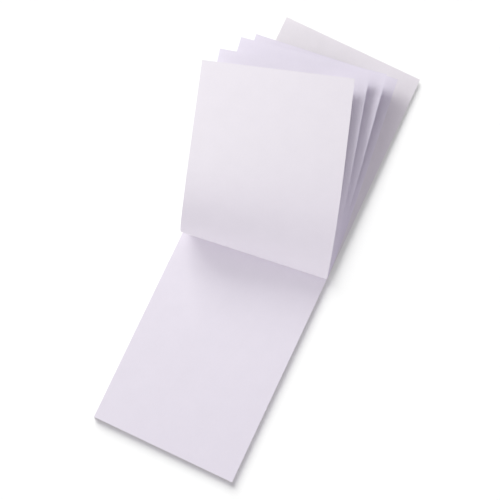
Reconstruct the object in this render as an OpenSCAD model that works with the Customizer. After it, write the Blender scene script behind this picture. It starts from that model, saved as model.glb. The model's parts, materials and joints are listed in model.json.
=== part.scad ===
// Drawing pad, glued along its head (one short edge) and lying open on a table.
// The cover and the first four sheets are turned over the head and lie beyond it.
// The origin is the centre of the back board's underside. +Y points to the head, +Z up.
// All sizes are in millimetres and all angles in degrees.

/* [Page] */
// Width of the pages, the back board and the cover
page_w = 152.4; // [100:0.1:300]
// Length of the pages, the back board and the cover
page_l = 228.6; // [150:0.1:420]
// Thickness of one sheet of paper
paper_t = 0.25; // [0.1:0.01:0.4]
// Air between pieces of paper that lie on each other
paper_gap = 0.05; // [0.02:0.01:0.1]

/* [Block] */
// Number of pages that still lie flat
page_count = 20; // [5:1:60]
// Depth of the groove between the edges of two pages
groove_depth = 0.15; // [0.05:0.01:0.5]
// Height of the groove between the edges of two pages
groove_h = 0.06; // [0.02:0.01:0.08]
// Thickness of the back board
board_t = 1; // [0.4:0.1:3]

/* [Head] */
// Thickness of the padding glue on the head
glue_t = 0.6; // [0.2:0.1:1.5]
// Rounding of the glue's two outer edges
glue_round = 0.25; // [0.05:0.05:0.3]

/* [Cover] */
// Thickness of the cover's card
cover_t = 0.4; // [0.2:0.05:0.6]
// Inner radius of the cover's fold
cover_fold_r = 0.25; // [0.1:0.05:0.3]
// Length of the cover that stays flat between the glue and its fold
cover_flat = 0.2; // [0.1:0.1:0.4]
// Height of the cover's free edge above the table
cover_end_lift = 3.2; // [0:0.1:6]

/* [Turned sheets, from the outermost in] */
// Distance from the head to the end of each sheet's tight bend, along its left edge
left_bend = [45.9, 36.7, 26.2, 16.7]; // [6:0.1:70]
// The same distance along its right edge
right_bend = [5.6, 3.9, 2.9, 2.2]; // [2.2:0.1:10]
// Angle that each sheet turns through in its tight bend
bend_angle = [104, 116, 128, 134]; // [60:1:160]
// Whole angle that each sheet turns through, up to its free edge
end_angle = [185, 191, 192, 197]; // [150:1:220]
// Share of the rest of each sheet's left edge along which the paper still curls
left_curl = [0.53, 0.6, 0.6, 0.71]; // [0.2:0.01:1]
// Share of the rest of each sheet's right edge along which the paper still curls
right_curl = [0.83, 0.94, 0.98, 0.98]; // [0.2:0.01:1]
// Length of the innermost sheet that stays flat between the glue and its bend
sheet_flat = 0.7; // [0.5:0.1:1]
// Flat length that each sheet has more than the next one in
flat_extra = 0.2; // [0.1:0.05:0.4]

/* [Hidden] */

paper_color = "#e6e0ea";
block_color = "#e5dfeb";
cover_color = "#e2dde2";
board_color = "#a09a92";
glue_color = "#f1efec";

// Strips of paper in the tight bend and in the curl after it
bend_steps = 20;
curl_steps = 16;
steps = bend_steps + curl_steps;

head_y = page_l / 2;
block_t = page_count * paper_t;
block_top = board_t + block_t;
sheet_count = len(left_bend);
paper_pitch = paper_t + paper_gap;

// Heights of the cover's middle layer in the glue and of the centre of its fold
cover_z = block_top + sheet_count * paper_pitch + paper_gap + cover_t / 2;
fold_mid_r = cover_fold_r + cover_t / 2;
fold_z = cover_z + fold_mid_r;
cover_run = page_l - cover_flat - PI * fold_mid_r;
cover_slope = asin((fold_z + fold_mid_r - cover_end_lift - cover_t / 2) / cover_run);
glue_top = cover_z + cover_t / 2;

function mix(from, to, share) = from + (to - from) * share;

// Height of the middle layer of sheet i where it leaves the glue
function sheet_z(i) = block_top + paper_gap + paper_t / 2 + i * paper_pitch;

// Distances from the head to where the tight bend of sheet i starts, on both edges,
// to where it ends, and to where the curl after it ends
function bend_start(i) = let (flat = sheet_flat + (sheet_count - 1 - i) * flat_extra) [flat, flat];
function bend_end(i) = [left_bend[i], right_bend[i]];
function curl_end(i) = [
    mix(left_bend[i], page_l, left_curl[i]),
    mix(right_bend[i], page_l, right_curl[i])
];

// The paper bends only across straight lines, because it can't stretch.
// Line k of sheet i, as its distances from the head on the left and right edges
function bend_line(i, k) = k < bend_steps
    ? mix(bend_start(i), bend_end(i), (k + 0.5) / bend_steps)
    : mix(bend_end(i), curl_end(i), (k - bend_steps + 0.5) / curl_steps);

// Angle that the paper turns through at line k, even in the tight bend and fading in the curl
function bend_turn(i, k) = k < bend_steps
    ? bend_angle[i] / bend_steps
    : 2 * (end_angle[i] - bend_angle[i]) / curl_steps
        * (1 - (k - bend_steps + 0.5) / curl_steps);

// Turn about the line from [0, line[0]] to [page_w, line[1]] of the flat sheet, as a 4 x 4 matrix
function turn_about(line, angle) = let (
        run = norm([page_w, line[1] - line[0]]),
        x = page_w / run,
        y = (line[1] - line[0]) / run,
        less = 1 - cos(angle),
        side = sin(angle),
        turn = [
            [1 - less * y * y, less * x * y, side * y],
            [less * x * y, 1 - less * x * x, -side * x],
            [-side * y, side * x, 1 - less]
        ],
        pivot = [0, line[0], 0],
        shift = pivot - turn * pivot
    )
    [
        [each turn[0], shift[0]],
        [each turn[1], shift[1]],
        [each turn[2], shift[2]],
        [0, 0, 0, 1]
    ];

// Place of the flat sheet in its first strip: x across it, y away from the head, z down
function first_place(i) = [
    [1, 0, 0, -page_w / 2],
    [0, -1, 0, head_y],
    [0, 0, -1, sheet_z(i)],
    [0, 0, 0, 1]
];

// Places of the strips of sheet i, each turned from the one before about their shared line
function strip_places(i) = [
    for (
        k = 0, place = first_place(i);
        k <= steps;
        place = place * turn_about(bend_line(i, k), -bend_turn(i, k)), k = k + 1
    )
    place
];

function point(place, x, y) = let (p = place * [x, y, 0, 1]) [p[0], p[1], p[2]];
function normal(place) = [place[0][2], place[1][2], place[2][2]];

// Offset to the paper's face that suits both strips beside a line
function shared_offset(before, after) =
    (normal(before) + normal(after)) / (1 + normal(before) * normal(after)) * paper_t / 2;

// The four corners of the paper's section along one line
function section(place, line, offset) = let (
        left = point(place, 0, line[0]),
        right = point(place, page_w, line[1])
    )
    [left - offset, right - offset, right + offset, left + offset];

function sheet_sections(i) = let (places = strip_places(i))
    [
        section(places[0], [0, 0], shared_offset(places[0], places[0])),
        for (k = [0 : steps - 1])
            section(places[k], bend_line(i, k), shared_offset(places[k], places[k + 1])),
        section(places[steps], [page_l, page_l], shared_offset(places[steps], places[steps]))
    ];

// A closed skin over a row of four-cornered sections
module skin(sections) {
    last = len(sections) - 1;
    sides = [
        for (s = [0 : last - 1], c = [0 : 3])
            let (a = 4 * s + c, b = 4 * s + (c + 1) % 4)
            each [[a, a + 4, b + 4], [a, b + 4, b]]
    ];
    ends = [[0, 1, 2], [0, 2, 3], [4 * last, 4 * last + 2, 4 * last + 1], [4 * last, 4 * last + 3, 4 * last + 2]];
    polyhedron(points = [for (s = sections) each s], faces = concat(sides, ends));
}

// One sheet, bent over the head more tightly at its right edge than at its left
module turned_sheet(i) {
    color(paper_color) skin(sheet_sections(i));
}

// The pages that lie flat, as one solid with a fine groove between the edges of each two
module page_block() {
    color(block_color) translate([-page_w / 2, -page_l / 2, board_t]) {
        translate([groove_depth, groove_depth, 0])
            cube([page_w - 2 * groove_depth, page_l - groove_depth, block_t]);
        for (page = [0 : page_count - 1])
            translate([0, 0, page * paper_t + groove_h / 2]) cube([page_w, page_l, paper_t - groove_h]);
    }
}

module back_board() {
    color(board_color) translate([-page_w / 2, -page_l / 2, 0]) cube([page_w, page_l, board_t]);
}

// Runs a section across the pad. The section's x is the pad's Y, and its y is the pad's Z.
module across_pad() {
    translate([-page_w / 2, 0, 0]) rotate([90, 0, 90]) linear_extrude(page_w) children();
}

// The glue is brushed on over the edges of the board, the pages, the turned sheets and the cover
module head_glue() {
    color(glue_color) across_pad() translate([head_y, 0]) {
        square([glue_t - glue_round, glue_top]);
        translate([0, glue_round]) square([glue_t, glue_top - 2 * glue_round]);
        for (z = [glue_round, glue_top - glue_round])
            translate([glue_t - glue_round, z]) circle(glue_round, $fn = 32);
    }
}

// The card is held by the glue, folds back over it and runs down to its free edge
module cover() {
    reach = 4 * fold_mid_r;
    color(cover_color) across_pad() {
        translate([head_y - cover_flat, cover_z - cover_t / 2]) square([cover_flat, cover_t]);
        translate([head_y - cover_flat, fold_z]) {
            difference() {
                circle(cover_fold_r + cover_t, $fn = 48);
                circle(cover_fold_r, $fn = 48);
                polygon([[0, 0], [0, -reach], [reach, -reach], [reach, reach], [reach * tan(cover_slope), reach]]);
            }
            rotate(-cover_slope) translate([0, cover_fold_r]) square([cover_run, cover_t]);
        }
    }
}

module sheet_1() turned_sheet(0);
module sheet_2() turned_sheet(1);
module sheet_3() turned_sheet(2);
module sheet_4() turned_sheet(3);

page_block();
back_board();
head_glue();
cover();
sheet_1();
sheet_2();
sheet_3();
sheet_4();
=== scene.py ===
"""A drawing pad, glued along its head, with its cover and four sheets turned over.

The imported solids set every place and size. The turned sheets and the cover are bent by one
Geometry Nodes tree, which folds a flat sheet along many straight lines, as real paper bends.
All sizes are in metres. +Y points to the pad's head and +Z up.
"""

import json
import math

import bpy
from bpy.props import (
    FloatProperty,
    FloatVectorProperty,
    IntProperty,
    PointerProperty,
)
from mathutils import Matrix, Vector

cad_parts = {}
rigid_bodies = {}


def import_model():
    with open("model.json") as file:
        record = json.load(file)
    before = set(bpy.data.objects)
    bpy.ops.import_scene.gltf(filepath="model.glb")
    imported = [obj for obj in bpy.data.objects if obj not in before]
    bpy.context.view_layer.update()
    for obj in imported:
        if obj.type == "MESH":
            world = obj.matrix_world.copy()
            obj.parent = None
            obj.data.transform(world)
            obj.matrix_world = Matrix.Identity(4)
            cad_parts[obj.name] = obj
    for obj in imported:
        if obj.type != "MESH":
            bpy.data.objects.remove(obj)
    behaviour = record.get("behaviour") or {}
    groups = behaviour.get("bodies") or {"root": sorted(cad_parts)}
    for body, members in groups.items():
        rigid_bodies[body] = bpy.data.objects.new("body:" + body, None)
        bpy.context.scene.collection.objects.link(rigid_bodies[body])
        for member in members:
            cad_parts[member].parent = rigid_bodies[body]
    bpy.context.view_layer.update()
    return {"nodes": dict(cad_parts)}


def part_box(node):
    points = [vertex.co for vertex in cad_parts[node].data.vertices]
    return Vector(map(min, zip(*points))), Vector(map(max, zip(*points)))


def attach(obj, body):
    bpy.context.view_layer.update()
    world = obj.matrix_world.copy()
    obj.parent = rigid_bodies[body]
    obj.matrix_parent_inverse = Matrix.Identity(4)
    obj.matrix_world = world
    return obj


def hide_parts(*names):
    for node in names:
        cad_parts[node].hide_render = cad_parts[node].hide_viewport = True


bl_info = {
    "name": "Drawing pad",
    "version": (1, 0, 0),
    "blender": (4, 5, 0),
    "location": "3D View > Sidebar > Drawing Pad",
    "description": "Builds an open drawing pad with its turned sheets, its finish and its stage",
    "category": "Object",
}

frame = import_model()
BODY = "root"

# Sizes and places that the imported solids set
BLOCK_LOW, BLOCK_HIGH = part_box("page_block")
GLUE_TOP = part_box("head_glue")[1].z
COVER_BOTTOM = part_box("cover")[0].z
PAGE_W = BLOCK_HIGH.x - BLOCK_LOW.x
PAGE_L = BLOCK_HIGH.y - BLOCK_LOW.y
HEAD_Y = BLOCK_HIGH.y
BLOCK_TOP = BLOCK_HIGH.z
SHEET_COUNT = 4
MM = 0.001

# The air between two pages of the block, and the seed of their small shifts
PAGE_AIR = 0.02 * MM
PAGE_SEED = 4

# Share of the cover's length at which its straight part ends its even rows of points
COVER_ROWS_END = 0.9

# The cover waves less than a sheet. Each piece of paper has its own place in the noise.
COVER_WAVE = 0.3
COVER_WAVE_SEED = 7.3
SHEET_WAVE_SEED_STEP = 1.7

# What casts a shadow on the table. A share of the slanted light passes the cover.
THICK_PARTS = ("stacked_pages", "back_board", "head_glue")
FLAT_PARTS = (*THICK_PARTS, "turned_cover")


# Sizes, colours and lights that a user would change

class PadSizes(bpy.types.PropertyGroup):
    """Sizes of the paper and of the bends that the photograph shows"""

    paper_t: FloatProperty(
        name="Paper thickness",
        description="Thickness of one sheet of paper",
        default=0.25 * MM, min=0.1 * MM, max=0.5 * MM, unit="LENGTH", precision=5,
    )
    paper_gap: FloatProperty(
        name="Paper gap",
        description="Air between pieces of paper that lie on each other",
        default=0.05 * MM, min=0.01 * MM, max=0.1 * MM, unit="LENGTH", precision=5,
    )
    page_count: IntProperty(
        name="Pages",
        description="Number of pages that still lie flat",
        default=20, min=2, max=60,
    )
    page_shift: FloatProperty(
        name="Page shift",
        description="How far a page may lie out of line with its neighbours",
        default=0.12 * MM, min=0.0, max=1 * MM, unit="LENGTH", precision=5,
    )
    left_bend: FloatVectorProperty(
        name="Left bends",
        description="Distance from the head to the end of each sheet's tight bend, on the left edge",
        default=(45.9 * MM, 36.7 * MM, 26.2 * MM, 16.7 * MM), size=4, unit="LENGTH", precision=4,
    )
    right_bend: FloatVectorProperty(
        name="Right bends",
        description="Distance from the head to the end of each sheet's tight bend, on the right edge",
        default=(5.6 * MM, 3.9 * MM, 2.9 * MM, 2.2 * MM), size=4, unit="LENGTH", precision=4,
    )
    bend_angle: FloatVectorProperty(
        name="Bend angles",
        description="Angle that each sheet turns through in its tight bend",
        default=[math.radians(a) for a in (104, 116, 128, 134)], size=4, unit="ROTATION",
    )
    end_angle: FloatVectorProperty(
        name="End angles",
        description="Whole angle that each sheet turns through, up to its free edge",
        default=[math.radians(a) for a in (185, 191, 192, 197)], size=4, unit="ROTATION",
    )
    left_curl: FloatVectorProperty(
        name="Left curls",
        description="Share of the rest of each sheet's left edge along which it still curls",
        default=(0.53, 0.6, 0.6, 0.71), size=4, min=0.0, max=1.0,
    )
    right_curl: FloatVectorProperty(
        name="Right curls",
        description="Share of the rest of each sheet's right edge along which it still curls",
        default=(0.83, 0.94, 0.98, 0.98), size=4, min=0.0, max=1.0,
    )
    sheet_flat: FloatProperty(
        name="Flat length",
        description="Length of the innermost sheet that stays flat between the glue and its bend",
        default=0.7 * MM, min=0.1 * MM, max=2 * MM, unit="LENGTH", precision=5,
    )
    flat_extra: FloatProperty(
        name="Extra flat length",
        description="Flat length that each sheet has more than the next one in",
        default=0.2 * MM, min=0.0, max=1 * MM, unit="LENGTH", precision=5,
    )
    wave: FloatProperty(
        name="Paper wave",
        description="Height of the slow waves that damp air leaves in loose paper",
        default=0.5 * MM, min=0.0, max=3 * MM, unit="LENGTH", precision=5,
    )
    cover_t: FloatProperty(
        name="Cover thickness",
        description="Thickness of the cover's card",
        default=0.4 * MM, min=0.1 * MM, max=1 * MM, unit="LENGTH", precision=5,
    )
    cover_fold: FloatProperty(
        name="Cover fold radius",
        description="Inner radius of the cover's fold",
        default=0.25 * MM, min=0.05 * MM, max=1 * MM, unit="LENGTH", precision=5,
    )
    cover_flat: FloatProperty(
        name="Cover flat length",
        description="Length of the cover that stays flat between the glue and its fold",
        default=0.2 * MM, min=0.1 * MM, max=1 * MM, unit="LENGTH", precision=5,
    )


def colour_property(name, description, default):
    """A colour whose three values are in linear light"""
    return FloatVectorProperty(
        name=name, description=description, default=default,
        size=3, min=0.0, max=1.0, subtype="COLOR",
    )


class PadColours(bpy.types.PropertyGroup):
    """Colours of the pad's materials"""

    # The turned sheets are one paper, the same as the pages. The outer sheet's greyer colour is that
    # paper's lit tone, and the other sheets' more violet colour is painted shade: it stands in for the
    # violet light that passes through and between the stacked sheets.
    outer_sheet_lit_tone: colour_property("Outer sheet", "Paper of the outermost sheet", (0.807, 0.782, 0.804))
    sheet: colour_property("Other sheets", "Paper of the other turned sheets", (0.82, 0.783, 0.863))
    page: colour_property("Pages", "Paper of the block", (0.807, 0.779, 0.822))
    cover: colour_property("Cover", "Card of the cover", (0.867, 0.84, 0.855))
    board: colour_property("Board", "Grey chipboard", (0.36, 0.33, 0.30))
    glue: colour_property("Glue", "Dry padding glue on the head", (0.80, 0.79, 0.76))


class PadStage(bpy.types.PropertyGroup):
    """Camera and lamps"""

    camera_place: FloatVectorProperty(
        name="Camera place", description="Where the camera stands",
        default=(0.0182, -0.1101, 1.6465), size=3, subtype="XYZ", unit="LENGTH",
    )
    camera_aim: FloatVectorProperty(
        name="Camera aim", description="Point on the table that the camera looks at",
        default=(-0.0071, 0.1053, 0.0), size=3, subtype="XYZ", unit="LENGTH",
    )
    camera_roll: FloatProperty(
        name="Camera roll", description="Turn of the camera about its line of sight",
        default=math.radians(-25.41), unit="ROTATION",
    )
    camera_lens: FloatProperty(
        name="Camera lens", description="Focal length in millimetres",
        default=117.53, min=20, max=300,
    )
    key_power: FloatProperty(
        name="Key light", description="Power of the long soft box beyond the head's left end, in watts",
        default=11.7, min=0.0, max=100.0,
    )
    head_power: FloatProperty(
        name="Head light", description="Power of the small soft box beyond the sheets, in watts",
        default=2.35, min=0.0, max=100.0,
    )
    left_power: FloatProperty(
        name="Left light", description="Power of the soft box to the left, in watts",
        default=5.0, min=0.0, max=100.0,
    )
    right_power: FloatProperty(
        name="Right light", description="Power of the soft box to the right, in watts",
        default=10.7, min=0.0, max=100.0,
    )
    front_power: FloatProperty(
        name="Front light", description="Power of the large soft box far beyond the pad's foot, in watts",
        default=36.0, min=0.0, max=100.0,
    )
    table_slant: FloatProperty(
        name="Slanted light", description="Strength of the slanted light on the table alone",
        default=3.9, min=0.0, max=10.0,
    )
    cover_lets_by: FloatProperty(
        name="Past the cover", description="Share of the slanted light that the cover lets by",
        default=0.16, min=0.0, max=1.0,
    )
    table_fill: FloatProperty(
        name="Overhead light", description="Strength of the light from above on the table alone",
        default=0.4, min=0.0, max=10.0,
    )
    sky_strength: FloatProperty(
        name="Sky light", description="Strength of the even light from all round",
        default=0.283, min=0.0, max=10.0,
    )


# Node trees

def link(tree, value, socket):
    """Feeds a socket from another one, or sets it to a plain value"""
    if isinstance(value, bpy.types.NodeSocket):
        tree.links.new(value, socket)
    else:
        socket.default_value = value


def maths(tree, operation, *values, clamp=False):
    """A Math node's result"""
    node = tree.nodes.new("ShaderNodeMath")
    node.operation = operation
    node.use_clamp = clamp
    for value, socket in zip(values, node.inputs):
        link(tree, value, socket)
    return node.outputs[0]


def vector(tree, x, y, z):
    """A vector from its three parts"""
    node = tree.nodes.new("ShaderNodeCombineXYZ")
    for value, socket in zip((x, y, z), node.inputs):
        link(tree, value, socket)
    return node.outputs[0]


def split(tree, value):
    """The three parts of a vector"""
    node = tree.nodes.new("ShaderNodeSeparateXYZ")
    link(tree, value, node.inputs[0])
    return node.outputs


def geometry_tree(name, inputs):
    """An empty Geometry Nodes tree, the sockets that it is given and those that it fills"""
    tree = bpy.data.node_groups.new(name, "GeometryNodeTree")
    tree.is_modifier = True
    for label, kind in inputs:
        tree.interface.new_socket(label, in_out="INPUT", socket_type="NodeSocket" + kind)
    tree.interface.new_socket("Geometry", in_out="OUTPUT", socket_type="NodeSocketGeometry")
    given = tree.nodes.new("NodeGroupInput")
    made = tree.nodes.new("NodeGroupOutput")
    return tree, given.outputs, made.inputs


def finish_tree(tree, geometry, material, made):
    """Realizes the instances, sets the material and hands the geometry out"""
    realize = tree.nodes.new("GeometryNodeRealizeInstances")
    paint = tree.nodes.new("GeometryNodeSetMaterial")
    tree.links.new(geometry, realize.inputs["Geometry"])
    tree.links.new(realize.outputs["Geometry"], paint.inputs["Geometry"])
    tree.links.new(material, paint.inputs["Material"])
    tree.links.new(paint.outputs["Geometry"], made["Geometry"])


def store(tree, geometry, name, value):
    """Keeps a number on every point, and gives the geometry and a reader of that number"""
    keep = tree.nodes.new("GeometryNodeStoreNamedAttribute")
    keep.inputs["Name"].default_value = name
    link(tree, geometry, keep.inputs["Geometry"])
    link(tree, value, keep.inputs["Value"])
    read = tree.nodes.new("GeometryNodeInputNamedAttribute")
    read.inputs["Name"].default_value = name
    return keep.outputs["Geometry"], read.outputs["Attribute"]


def shade(tree, geometry, domain, smooth):
    """Sets the faces or the edges smooth where a test holds, and sharp elsewhere"""
    node = tree.nodes.new("GeometryNodeSetShadeSmooth")
    node.domain = domain
    link(tree, geometry, node.inputs["Geometry"])
    link(tree, smooth, node.inputs["Shade Smooth"])
    return node.outputs["Geometry"]


SHARP_ANGLE = 1.0


def crisp_edges(tree, geometry):
    """Shades a flat sheet smooth, with sharp edges all round it"""
    angle = tree.nodes.new("GeometryNodeInputMeshEdgeAngle").outputs["Unsigned Angle"]
    smooth = shade(tree, geometry, "FACE", True)
    return shade(tree, smooth, "EDGE", maths(tree, "LESS_THAN", angle, SHARP_ANGLE))


# Lines that a sheet folds along, rows of faces past the last of them, and faces across the sheet
BEND_LINES = 48
CURL_LINES = 40
END_ROWS = 14
ACROSS = 24
LINES = BEND_LINES + CURL_LINES
ROWS = LINES + 1 + END_ROWS

# Features to the metre of the paper's slow waves, and where they start along a sheet
WAVE_SCALE = 14.0
WAVE_START = 60 * MM
WAVE_FADE = 80 * MM

BEND_INPUTS = (
    ("Width", "Float"), ("Length", "Float"), ("Thickness", "Float"),
    ("Head Y", "Float"), ("Head Z", "Float"), ("Flat Length", "Float"),
    ("Left Bend", "Float"), ("Right Bend", "Float"),
    ("Left Curl", "Float"), ("Right Curl", "Float"),
    ("Bend Angle", "Float"), ("End Angle", "Float"),
    ("Wave", "Float"), ("Wave Seed", "Float"), ("Material", "Material"),
)


def bend_tree():
    """Folds a flat sheet over the head along straight lines, tightly first and then in a curl"""
    tree, given, made = geometry_tree("Bent sheet", BEND_INPUTS)

    def row_distance(row, bend, curl):
        """Distance from the head of a row of points on one edge"""
        in_bend = maths(tree, "DIVIDE", maths(tree, "SUBTRACT", row, 0.5), BEND_LINES, clamp=True)
        after_bend = maths(tree, "SUBTRACT", row, BEND_LINES + 0.5)
        in_curl = maths(tree, "DIVIDE", after_bend, CURL_LINES, clamp=True)
        after_curl = maths(tree, "SUBTRACT", row, LINES)
        in_end = maths(tree, "DIVIDE", after_curl, END_ROWS + 1, clamp=True)
        reach = maths(tree, "MULTIPLY", given["Flat Length"], maths(tree, "MINIMUM", row, 1.0))
        for low, high, share in (
            (given["Flat Length"], bend, in_bend),
            (bend, curl, in_curl),
            (curl, given["Length"], in_end),
        ):
            step = maths(tree, "MULTIPLY", maths(tree, "SUBTRACT", high, low), share)
            reach = maths(tree, "ADD", reach, step)
        return reach

    # A thin box of points, one row for each line that the sheet folds along
    slab = tree.nodes.new("GeometryNodeMeshCube")
    slab.inputs["Size"].default_value = (1, 1, 1)
    slab.inputs["Vertices X"].default_value = ACROSS + 1
    slab.inputs["Vertices Y"].default_value = ROWS + 1
    slab.inputs["Vertices Z"].default_value = 2
    place = split(tree, tree.nodes.new("GeometryNodeInputPosition").outputs["Position"])
    row = maths(tree, "ROUND", maths(tree, "MULTIPLY", maths(tree, "ADD", place[1], 0.5), ROWS))
    sheet, row = store(tree, slab.outputs["Mesh"], "row", row)
    across = maths(tree, "ADD", place[0], 0.5)

    left = row_distance(row, given["Left Bend"], given["Left Curl"])
    right = row_distance(row, given["Right Bend"], given["Right Curl"])
    slant = maths(tree, "MULTIPLY", maths(tree, "SUBTRACT", right, left), across)
    down = maths(tree, "ADD", left, slant)
    side = maths(tree, "MULTIPLY", across, given["Width"])

    # Slow waves, which fade out towards the bend
    waves = tree.nodes.new("ShaderNodeTexNoise")
    waves.noise_dimensions = "3D"
    waves.inputs["Scale"].default_value = WAVE_SCALE
    waves.inputs["Detail"].default_value = 1.0
    link(tree, vector(tree, side, down, given["Wave Seed"]), waves.inputs["Vector"])
    past_start = maths(tree, "SUBTRACT", down, WAVE_START)
    fade = maths(tree, "DIVIDE", past_start, WAVE_FADE, clamp=True)
    wave = maths(tree, "MULTIPLY", maths(tree, "SUBTRACT", waves.outputs[0], 0.5), fade)
    wave = maths(tree, "MULTIPLY", wave, given["Wave"])
    depth = maths(tree, "ADD", maths(tree, "MULTIPLY", place[2], given["Thickness"]), wave)

    spread = tree.nodes.new("GeometryNodeSetPosition")
    link(tree, sheet, spread.inputs["Geometry"])
    link(tree, vector(tree, side, down, depth), spread.inputs["Position"])
    flat = crisp_edges(tree, spread.outputs["Geometry"])

    # Folds from the last line to the first, so each line is still in its flat place when used
    turn_start = tree.nodes.new("GeometryNodeRepeatInput")
    turn_end = tree.nodes.new("GeometryNodeRepeatOutput")
    turn_start.pair_with_output(turn_end)
    turn_start.inputs["Iterations"].default_value = LINES
    link(tree, flat, turn_start.inputs["Geometry"])
    line = maths(tree, "SUBTRACT", LINES, turn_start.outputs["Iteration"])

    bend_step = maths(tree, "DIVIDE", given["Bend Angle"], BEND_LINES)
    curl_left = maths(tree, "SUBTRACT", LINES + 0.5, line)
    curl_angle = maths(tree, "SUBTRACT", given["End Angle"], given["Bend Angle"])
    curl_step = maths(tree, "MULTIPLY", curl_angle, 2 / CURL_LINES ** 2)
    curl_step = maths(tree, "MULTIPLY", curl_step, curl_left)
    in_curl = maths(tree, "GREATER_THAN", line, BEND_LINES + 0.5)
    more = maths(tree, "MULTIPLY", maths(tree, "SUBTRACT", curl_step, bend_step), in_curl)
    angle = maths(tree, "ADD", bend_step, more)

    # Points beyond the line turn with it, and those on it turn half as far
    beyond = maths(tree, "SUBTRACT", row, line)
    share = maths(tree, "ADD", maths(tree, "MULTIPLY", beyond, 0.5), 0.5, clamp=True)
    pivot = row_distance(line, given["Left Bend"], given["Left Curl"])
    rise = maths(tree, "SUBTRACT", row_distance(line, given["Right Bend"], given["Right Curl"]), pivot)
    turn = tree.nodes.new("ShaderNodeVectorRotate")
    turn.rotation_type = "AXIS_ANGLE"
    link(tree, tree.nodes.new("GeometryNodeInputPosition").outputs["Position"], turn.inputs["Vector"])
    link(tree, vector(tree, 0.0, pivot, 0.0), turn.inputs["Center"])
    link(tree, vector(tree, given["Width"], rise, 0.0), turn.inputs["Axis"])
    back = maths(tree, "MULTIPLY", maths(tree, "MULTIPLY", angle, share), -1.0)
    link(tree, back, turn.inputs["Angle"])
    move = tree.nodes.new("GeometryNodeSetPosition")
    link(tree, turn_start.outputs["Geometry"], move.inputs["Geometry"])
    link(tree, turn.outputs["Vector"], move.inputs["Position"])
    link(tree, maths(tree, "GREATER_THAN", share, 0.0), move.inputs["Selection"])
    link(tree, move.outputs["Geometry"], turn_end.inputs["Geometry"])

    # From the sheet's own place (x across, y down the page, z down) to its place on the pad
    bent = split(tree, tree.nodes.new("GeometryNodeInputPosition").outputs["Position"])
    half = maths(tree, "MULTIPLY", given["Width"], 0.5)
    seat = tree.nodes.new("GeometryNodeSetPosition")
    link(tree, turn_end.outputs["Geometry"], seat.inputs["Geometry"])
    on_pad = vector(
        tree,
        maths(tree, "SUBTRACT", bent[0], half),
        maths(tree, "SUBTRACT", given["Head Y"], bent[1]),
        maths(tree, "SUBTRACT", given["Head Z"], bent[2]),
    )
    link(tree, on_pad, seat.inputs["Position"])
    finish_tree(tree, seat.outputs["Geometry"], given["Material"], made)
    return tree


# Points along and across a page, and how near the head the glue holds them flush
PAGE_COLUMNS = 9
PAGE_ROWS = 13
FLUSH_REACH = 1 * MM

STACK_INPUTS = (
    ("Width", "Float"), ("Length", "Float"), ("Thickness", "Float"), ("Gap", "Float"),
    ("Count", "Int"), ("Shift", "Float"), ("Seed", "Int"),
    ("Head Y", "Float"), ("Bottom Z", "Float"), ("Material", "Material"),
)


def stack_tree():
    """Lays pages on each other, each a little out of line at its three free edges"""
    tree, given, made = geometry_tree("Stacked pages", STACK_INPUTS)
    page = tree.nodes.new("GeometryNodeMeshCube")
    page.inputs["Vertices X"].default_value = PAGE_COLUMNS
    page.inputs["Vertices Y"].default_value = PAGE_ROWS
    page.inputs["Vertices Z"].default_value = 2
    solid = maths(tree, "SUBTRACT", given["Thickness"], given["Gap"])
    link(tree, vector(tree, given["Width"], given["Length"], solid), page.inputs["Size"])

    points = tree.nodes.new("GeometryNodeMeshLine")
    points.mode = "OFFSET"
    link(tree, given["Count"], points.inputs["Count"])
    middle = maths(tree, "SUBTRACT", given["Head Y"], maths(tree, "MULTIPLY", given["Length"], 0.5))
    first = maths(tree, "ADD", given["Bottom Z"], maths(tree, "MULTIPLY", given["Thickness"], 0.5))
    link(tree, vector(tree, 0.0, middle, first), points.inputs["Start Location"])
    link(tree, vector(tree, 0.0, 0.0, given["Thickness"]), points.inputs["Offset"])

    lay = tree.nodes.new("GeometryNodeInstanceOnPoints")
    tree.links.new(points.outputs["Mesh"], lay.inputs["Points"])
    tree.links.new(page.outputs["Mesh"], lay.inputs["Instance"])
    chance = tree.nodes.new("FunctionNodeRandomValue")
    chance.data_type = "FLOAT_VECTOR"
    shift = given["Shift"]
    back = maths(tree, "MULTIPLY", shift, -1.0)
    link(tree, vector(tree, back, 0.0, 0.0), chance.inputs[0])
    link(tree, vector(tree, shift, shift, 0.0), chance.inputs[1])
    link(tree, given["Seed"], chance.inputs["Seed"])
    slide = tree.nodes.new("GeometryNodeTranslateInstances")
    tree.links.new(lay.outputs["Instances"], slide.inputs["Instances"])
    tree.links.new(chance.outputs[0], slide.inputs["Translation"])

    # The glue holds every page flush at the head, however far its foot lies out of line
    loose = tree.nodes.new("GeometryNodeRealizeInstances")
    tree.links.new(slide.outputs["Instances"], loose.inputs["Geometry"])
    place = split(tree, tree.nodes.new("GeometryNodeInputPosition").outputs["Position"])
    flush = tree.nodes.new("GeometryNodeSetPosition")
    edge = maths(tree, "SUBTRACT", given["Head Y"], FLUSH_REACH)
    near = maths(tree, "GREATER_THAN", place[1], edge)
    tree.links.new(loose.outputs["Geometry"], flush.inputs["Geometry"])
    link(tree, near, flush.inputs["Selection"])
    link(tree, vector(tree, place[0], given["Head Y"], place[2]), flush.inputs["Position"])
    finish_tree(tree, flush.outputs["Geometry"], given["Material"], made)
    return tree


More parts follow.
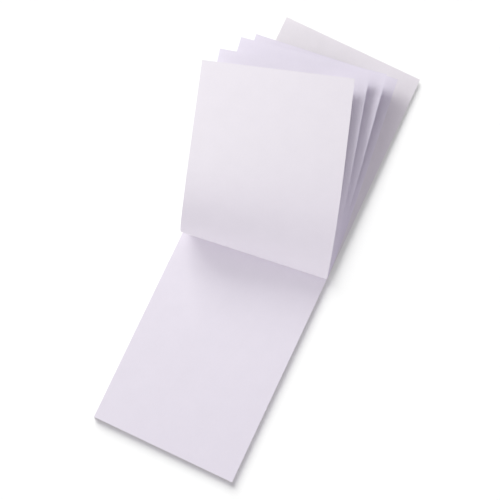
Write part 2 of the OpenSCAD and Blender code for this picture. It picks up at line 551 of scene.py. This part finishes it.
def grow(name, tree, values):
    """Runs a Geometry Nodes tree and gives its result as a plain mesh piece"""
    seed_mesh = bpy.data.meshes.new(name + "_seed")
    piece = bpy.data.objects.new(name, seed_mesh)
    bpy.context.scene.collection.objects.link(piece)
    modifier = piece.modifiers.new("Grow", "NODES")
    modifier.node_group = tree
    for item in tree.interface.items_tree:
        if item.in_out == "INPUT":
            modifier[item.identifier] = values[item.name]
    bpy.context.view_layer.update()
    seen = piece.evaluated_get(bpy.context.evaluated_depsgraph_get())
    mesh = bpy.data.meshes.new_from_object(seen)
    piece.modifiers.clear()
    piece.data = mesh
    mesh.name = name
    bpy.data.meshes.remove(seed_mesh)
    for attribute in ("row", "UVMap"):
        if attribute in mesh.attributes:
            mesh.attributes.remove(mesh.attributes[attribute])
    return piece


# Materials

def new_material(name, roughness, specular):
    """A material with its Principled shader, and the Object coordinates"""
    material = bpy.data.materials.new(name)
    material.use_nodes = True
    tree = material.node_tree
    shader = tree.nodes["Principled BSDF"]
    shader.inputs["Roughness"].default_value = roughness
    shader.inputs["Specular IOR Level"].default_value = specular
    place = tree.nodes.new("ShaderNodeTexCoord").outputs["Object"]
    return material, tree, shader, place


def noise(tree, place, scale, detail=2.0, roughness=0.5, stretch=(1, 1, 1)):
    """Noise with that many features to the metre"""
    mapping = tree.nodes.new("ShaderNodeMapping")
    mapping.inputs["Scale"].default_value = stretch
    texture = tree.nodes.new("ShaderNodeTexNoise")
    texture.inputs["Scale"].default_value = scale
    texture.inputs["Detail"].default_value = detail
    texture.inputs["Roughness"].default_value = roughness
    tree.links.new(place, mapping.inputs["Vector"])
    tree.links.new(mapping.outputs["Vector"], texture.inputs["Vector"])
    return texture.outputs[0]


NOISE_LOW = 0.3
NOISE_HIGH = 0.7


def vary(tree, colour, share, darker, lighter):
    """The colour, from darker to lighter over the range that most of the noise lies in"""
    ramp = tree.nodes.new("ShaderNodeMapRange")
    ramp.inputs["From Min"].default_value = NOISE_LOW
    ramp.inputs["From Max"].default_value = NOISE_HIGH
    ramp.inputs["To Min"].default_value = darker
    ramp.inputs["To Max"].default_value = lighter
    tree.links.new(share, ramp.inputs["Value"])
    scale = tree.nodes.new("ShaderNodeVectorMath")
    scale.operation = "SCALE"
    link(tree, colour, scale.inputs[0])
    tree.links.new(ramp.outputs["Result"], scale.inputs["Scale"])
    return scale.outputs[0]


def bump(tree, shader, height, strength, distance, under=None):
    """Relief of that depth in metres, over the relief under it"""
    node = tree.nodes.new("ShaderNodeBump")
    node.inputs["Strength"].default_value = strength
    node.inputs["Distance"].default_value = distance
    tree.links.new(height, node.inputs["Height"])
    if under:
        tree.links.new(under, node.inputs["Normal"])
    tree.links.new(node.outputs["Normal"], shader.inputs["Normal"])
    return node.outputs["Normal"]


def paper(name, colour, clouds=0.008, tooth=0.35):
    """Uncoated drawing paper: cloudy pulp, faint fibres and a fine tooth"""
    material, tree, shader, place = new_material(name, roughness=0.88, specular=0.25)
    darker, lighter = 1 - clouds, 1 + clouds
    tone = vary(tree, colour, noise(tree, place, scale=55, detail=3), darker, lighter)
    fibres = noise(tree, place, scale=900, detail=4, roughness=0.65, stretch=(1, 0.35, 1))
    tone = vary(tree, tone, fibres, darker, lighter)
    tree.links.new(tone, shader.inputs["Base Color"])
    grain = noise(tree, place, scale=2600, detail=3, roughness=0.6)
    under = bump(tree, shader, grain, strength=tooth, distance=0.06 * MM)
    bump(tree, shader, fibres, strength=tooth, distance=0.08 * MM, under=under)
    return material


def chipboard(name, colour):
    """Grey board pressed from waste paper, with pale and dark flecks"""
    material, tree, shader, place = new_material(name, roughness=0.92, specular=0.2)
    pulp = noise(tree, place, scale=260, detail=6, roughness=0.7)
    tone = vary(tree, colour, pulp, darker=0.86, lighter=1.12)
    flecks = noise(tree, place, scale=1500, detail=2, roughness=0.8, stretch=(1, 0.3, 1))
    tone = vary(tree, tone, flecks, darker=0.88, lighter=1.12)
    tree.links.new(tone, shader.inputs["Base Color"])
    bump(tree, shader, flecks, strength=0.4, distance=0.12 * MM)
    return material


def padding_glue(name, colour):
    """Rubbery white glue, brushed along the head and dried with a soft shine"""
    material, tree, shader, place = new_material(name, roughness=0.38, specular=0.5)
    strokes = noise(tree, place, scale=320, detail=3, roughness=0.55, stretch=(0.12, 1, 1))
    tone = vary(tree, colour, strokes, darker=0.93, lighter=1.05)
    tree.links.new(tone, shader.inputs["Base Color"])
    bump(tree, shader, strokes, strength=0.6, distance=0.3 * MM)
    return material


def table_top(name, shown, lit):
    """A white table whose lit part is plain white to the camera and which keeps the shadow"""
    material = bpy.data.materials.new(name)
    material.use_nodes = True
    tree = material.node_tree
    tree.nodes.clear()
    out = tree.nodes.new("ShaderNodeOutputMaterial")
    seen = tree.nodes.new("ShaderNodeBsdfDiffuse")
    seen.inputs["Color"].default_value = (shown, shown, shown, 1)
    plain = tree.nodes.new("ShaderNodeBsdfDiffuse")
    plain.inputs["Color"].default_value = (lit, lit, lit, 1)
    mix = tree.nodes.new("ShaderNodeMixShader")
    tree.links.new(seen_directly(tree), mix.inputs[0])
    tree.links.new(plain.outputs[0], mix.inputs[1])
    tree.links.new(seen.outputs[0], mix.inputs[2])
    tree.links.new(mix.outputs[0], out.inputs["Surface"])
    return material


def seen_directly(tree):
    """1 for rays from the camera and for those that a glossy or clear face passes on, else 0"""
    path = tree.nodes.new("ShaderNodeLightPath").outputs
    direct = maths(tree, "MAXIMUM", path["Is Camera Ray"], path["Is Glossy Ray"])
    return maths(tree, "MAXIMUM", direct, path["Is Transmission Ray"])


def dress(node_name, material):
    """Gives a CAD node its material"""
    obj = frame["nodes"][node_name]
    if not obj.material_slots:
        obj.data.materials.append(material)
    for material_slot in obj.material_slots:
        material_slot.material = material
    return obj


def check_fit(piece, node_name, spare=2 * MM):
    """Stops if a piece leaves the box of the solid that it stands for"""
    low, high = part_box(node_name)
    for vertex in piece.data.vertices:
        for axis in range(3):
            if not low[axis] - spare <= vertex.co[axis] <= high[axis] + spare:
                raise RuntimeError(f"{piece.name} leaves the box of {node_name} at {vertex.co}")


def stand_for(piece, node_name):
    """Hands a finished piece to the frame in the place of its solid"""
    check_fit(piece, node_name)
    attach(piece, BODY)
    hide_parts(node_name)


# Operators

class PAD_OT_page_block(bpy.types.Operator):
    """Stack the pages that lie flat"""

    bl_idname = "drawing_pad.page_block"
    bl_label = "Page Block"

    def execute(self, context):
        sizes, colours = context.scene.pad_sizes, context.scene.pad_colours
        values = {
            "Width": PAGE_W, "Length": PAGE_L, "Thickness": sizes.paper_t,
            "Gap": PAGE_AIR, "Count": sizes.page_count, "Shift": sizes.page_shift,
            "Seed": PAGE_SEED, "Head Y": HEAD_Y, "Bottom Z": BLOCK_LOW.z,
            "Material": paper("block_paper", tuple(colours.page)),
        }
        piece = grow("stacked_pages", stack_tree(), values)
        stand_for(piece, "page_block")
        return {"FINISHED"}


class PAD_OT_back_board(bpy.types.Operator):
    """Finish the back board"""

    bl_idname = "drawing_pad.back_board"
    bl_label = "Back Board"

    def execute(self, context):
        dress("back_board", chipboard("grey_board", tuple(context.scene.pad_colours.board)))
        return {"FINISHED"}


class PAD_OT_head_glue(bpy.types.Operator):
    """Finish the glue on the head"""

    bl_idname = "drawing_pad.head_glue"
    bl_label = "Head Glue"

    def execute(self, context):
        dress("head_glue", padding_glue("head_glue", tuple(context.scene.pad_colours.glue)))
        return {"FINISHED"}


class PAD_OT_cover(bpy.types.Operator):
    """Turn the cover over the head"""

    bl_idname = "drawing_pad.cover"
    bl_label = "Cover"

    def execute(self, context):
        sizes, colours = context.scene.pad_sizes, context.scene.pad_colours
        fold_r = sizes.cover_fold + sizes.cover_t / 2
        fold_end = sizes.cover_flat + math.pi * fold_r
        head_z = GLUE_TOP - sizes.cover_t / 2
        drop = head_z + 2 * fold_r - COVER_BOTTOM - sizes.cover_t / 2
        turn = math.pi + math.asin(drop / (PAGE_L - fold_end))
        values = {
            "Width": PAGE_W, "Length": PAGE_L, "Thickness": sizes.cover_t,
            "Head Y": HEAD_Y, "Head Z": head_z, "Flat Length": sizes.cover_flat,
            "Left Bend": fold_end, "Right Bend": fold_end,
            "Left Curl": PAGE_L * COVER_ROWS_END, "Right Curl": PAGE_L * COVER_ROWS_END,
            "Bend Angle": turn, "End Angle": turn,
            "Wave": sizes.wave * COVER_WAVE, "Wave Seed": COVER_WAVE_SEED,
            "Material": paper("cover_card", tuple(colours.cover), clouds=0.012, tooth=0.25),
        }
        piece = grow("turned_cover", bend_tree(), values)
        stand_for(piece, "cover")
        return {"FINISHED"}


class PAD_OT_turned_sheets(bpy.types.Operator):
    """Turn four sheets over the head, from the outermost in"""

    bl_idname = "drawing_pad.turned_sheets"
    bl_label = "Turned Sheets"

    def execute(self, context):
        sizes, colours = context.scene.pad_sizes, context.scene.pad_colours
        tree = bend_tree()
        # One paper in two colours: the outer sheet in its lit tone, the other sheets in a more violet
        # tone of painted shade
        outer = paper("outer_sheet_paper", tuple(colours.outer_sheet_lit_tone))
        other = paper("sheet_paper", tuple(colours.sheet))
        pitch = sizes.paper_t + sizes.paper_gap
        for index in range(SHEET_COUNT):
            left, right = sizes.left_bend[index], sizes.right_bend[index]
            still_flat = sizes.sheet_flat + (SHEET_COUNT - 1 - index) * sizes.flat_extra
            values = {
                "Width": PAGE_W, "Length": PAGE_L, "Thickness": sizes.paper_t, "Head Y": HEAD_Y,
                "Head Z": BLOCK_TOP + sizes.paper_gap + sizes.paper_t / 2 + index * pitch,
                "Flat Length": still_flat, "Left Bend": left, "Right Bend": right,
                "Left Curl": left + (PAGE_L - left) * sizes.left_curl[index],
                "Right Curl": right + (PAGE_L - right) * sizes.right_curl[index],
                "Bend Angle": sizes.bend_angle[index], "End Angle": sizes.end_angle[index],
                "Wave": sizes.wave, "Wave Seed": SHEET_WAVE_SEED_STEP * index,
                "Material": other if index else outer,
            }
            piece = grow(f"turned_sheet_{index + 1}", tree, values)
            stand_for(piece, f"sheet_{index + 1}")
        return {"FINISHED"}


LAMP_AIM = Vector((0.0, 0.11, 0.03))
NEAR = 1.5
FAR = 3.0
WHITE = (1.0, 1.0, 1.0)
FILL_TINT = (0.945, 0.907, 1.0)
TABLE_TINT = (0.982, 1.0, 0.962)
TABLE_HALF = 6.0

# Name, azimuth and elevation in degrees, width, height and distance in metres, and colour
SOFT_BOXES = (
    ("key", 147, 29, 1.0, 0.35, NEAR, WHITE),
    ("head", 120, 45, 0.6, 0.3, NEAR, WHITE),
    ("left", 180, 42, 1.2, 0.9, NEAR, WHITE),
    ("right", 345, 21, 1.2, 0.9, NEAR, FILL_TINT),
    ("front", 240, 25, 2.4, 2.0, FAR, FILL_TINT),
)

# Azimuth, elevation and spread of the two lights on the table, in degrees
SLANTED = (136, 32, 44)
OVERHEAD = (0, 90, 5)


def aimed_lamp(name, kind, azimuth, elevation, distance, power, colour):
    """A lamp that faces the middle of the pad. Azimuth 0 is +X and 90 is +Y."""
    around, up = math.radians(azimuth), math.radians(elevation)
    away = Vector((math.cos(around) * math.cos(up), math.sin(around) * math.cos(up), math.sin(up)))
    lamp = bpy.data.objects.new(name, bpy.data.lights.new(name, kind))
    lamp.data.energy = power
    lamp.data.color = colour
    lamp.location = LAMP_AIM + away * distance
    lamp.rotation_mode = "QUATERNION"
    lamp.rotation_quaternion = (-away).to_track_quat("-Z", "Y")
    bpy.context.scene.collection.objects.link(lamp)
    return lamp


def softbox(name, azimuth, elevation, width, height, distance, power, colour):
    """A soft box whose width is level"""
    lamp = aimed_lamp(name, "AREA", azimuth, elevation, distance, power, colour)
    lamp.data.shape = "RECTANGLE"
    lamp.data.size = width
    lamp.data.size_y = height
    return lamp


def table_sun(name, direction, strength):
    """Light that is the same all over the table"""
    azimuth, elevation, spread = direction
    lamp = aimed_lamp(name, "SUN", azimuth, elevation, NEAR, strength, TABLE_TINT)
    lamp.data.angle = math.radians(spread)
    return lamp


def lamp_group(name, state, objects):
    """Objects that a lamp is kept to (INCLUDE) or that it leaves out (EXCLUDE)"""
    group = bpy.data.collections.new(name)
    for obj in objects:
        group.objects.link(obj)
    for member in group.collection_objects:
        member.light_linking.link_state = state
    return group


class PAD_OT_stage(bpy.types.Operator):
    """Set up the white table, the lamps and the camera"""

    bl_idname = "drawing_pad.stage"
    bl_label = "Stage"

    def execute(self, context):
        stage = context.scene.pad_stage
        table = self.make_table()
        self.light_pad(stage, table)
        self.light_table(stage, table)
        self.make_sky(context, stage)
        self.make_camera(context, stage)
        context.scene.view_settings.view_transform = "Standard"
        return {"FINISHED"}

    def make_table(self):
        """A white table top under the whole pad"""
        mesh = bpy.data.meshes.new("table_top")
        sides = ((-1, -1), (1, -1), (1, 1), (-1, 1))
        corners = [(x * TABLE_HALF, y * TABLE_HALF, 0) for x, y in sides]
        mesh.from_pydata(corners, [], [(0, 1, 2, 3)])
        mesh.materials.append(table_top("table_white", shown=1.0, lit=0.7))
        table = bpy.data.objects.new("table_top", mesh)
        bpy.context.scene.collection.objects.link(table)
        return table

    def light_pad(self, stage, table):
        """Five soft boxes that light everything but the table"""
        lamps = []
        for name, azimuth, elevation, width, height, distance, colour in SOFT_BOXES:
            power = getattr(stage, name + "_power")
            lamps.append(softbox(
                name + "_light", azimuth, elevation, width, height, distance, power, colour))
        no_table = lamp_group("no_table", "EXCLUDE", [table])
        for lamp in lamps:
            lamp.light_linking.receiver_collection = no_table

    def light_table(self, stage, table):
        """Lights for the table alone, where only what lies flat casts a shadow"""
        parts = bpy.data.objects
        flat = lamp_group("flat_parts", "INCLUDE", [parts[name] for name in FLAT_PARTS])
        thick = lamp_group("thick_parts", "INCLUDE", [parts[name] for name in THICK_PARTS])
        let_by = stage.table_slant * stage.cover_lets_by
        lamps = (
            (table_sun("table_slant", SLANTED, stage.table_slant - let_by), flat),
            (table_sun("table_slant_by_cover", SLANTED, let_by), thick),
            (table_sun("table_fill", OVERHEAD, stage.table_fill), flat),
        )
        only_table = lamp_group("only_table", "INCLUDE", [table])
        for lamp, blockers in lamps:
            lamp.light_linking.receiver_collection = only_table
            lamp.light_linking.blocker_collection = blockers

    def make_sky(self, context, stage):
        """A weak even light from all round, which the camera sees as plain white"""
        world = bpy.data.worlds.new("studio")
        context.scene.world = world
        world.use_nodes = True
        tree = world.node_tree
        tree.nodes.clear()
        out = tree.nodes.new("ShaderNodeOutputWorld")
        sky = tree.nodes.new("ShaderNodeBackground")
        sky.inputs["Strength"].default_value = stage.sky_strength
        sky.inputs["Color"].default_value = (*FILL_TINT, 1)
        white = tree.nodes.new("ShaderNodeBackground")
        white.inputs["Color"].default_value = (*WHITE, 1)
        mix = tree.nodes.new("ShaderNodeMixShader")
        tree.links.new(seen_directly(tree), mix.inputs[0])
        tree.links.new(sky.outputs[0], mix.inputs[1])
        tree.links.new(white.outputs[0], mix.inputs[2])
        tree.links.new(mix.outputs[0], out.inputs["Surface"])

    def make_camera(self, context, stage):
        """Looks almost straight down, rolled so that the pad leans to the right"""
        place, aim = Vector(stage.camera_place), Vector(stage.camera_aim)
        ahead = (aim - place).normalized()
        level_up = (Vector((0, 1, 0)) - ahead * ahead.y).normalized()
        level_right = ahead.cross(level_up)
        up = level_up * math.cos(stage.camera_roll) + level_right * math.sin(stage.camera_roll)
        right = ahead.cross(up)
        turn = Matrix((right, up, -ahead)).transposed()
        lens = bpy.data.cameras.new("camera")
        lens.lens = stage.camera_lens
        camera = bpy.data.objects.new("camera", lens)
        camera.matrix_world = Matrix.Translation(place) @ turn.to_4x4()
        context.scene.collection.objects.link(camera)
        context.scene.camera = camera


STEPS = (
    PAD_OT_page_block,
    PAD_OT_back_board,
    PAD_OT_head_glue,
    PAD_OT_cover,
    PAD_OT_turned_sheets,
    PAD_OT_stage,
)


class PAD_PT_panel(bpy.types.Panel):
    """Lists the pad's sizes, its colours and the steps that build it"""

    bl_idname = "PAD_PT_panel"
    bl_label = "Drawing Pad"
    bl_space_type = "VIEW_3D"
    bl_region_type = "UI"
    bl_category = "Drawing Pad"

    def draw(self, context):
        for group in (context.scene.pad_sizes, context.scene.pad_colours, context.scene.pad_stage):
            box = self.layout.box()
            for name in group.__annotations__:
                box.prop(group, name)
        for step in STEPS:
            self.layout.operator(step.bl_idname)


CLASSES = (PadSizes, PadColours, PadStage, *STEPS, PAD_PT_panel)


def register():
    for cls in CLASSES:
        bpy.utils.register_class(cls)
    bpy.types.Scene.pad_sizes = PointerProperty(type=PadSizes)
    bpy.types.Scene.pad_colours = PointerProperty(type=PadColours)
    bpy.types.Scene.pad_stage = PointerProperty(type=PadStage)


def unregister():
    for name in ("pad_sizes", "pad_colours", "pad_stage"):
        delattr(bpy.types.Scene, name)
    for cls in reversed(CLASSES):
        bpy.utils.unregister_class(cls)


def main():
    """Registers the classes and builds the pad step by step"""
    register()
    bpy.ops.drawing_pad.page_block()
    bpy.ops.drawing_pad.back_board()
    bpy.ops.drawing_pad.head_glue()
    bpy.ops.drawing_pad.cover()
    bpy.ops.drawing_pad.turned_sheets()
    bpy.ops.drawing_pad.stage()


if __name__ == "__main__":
    main()
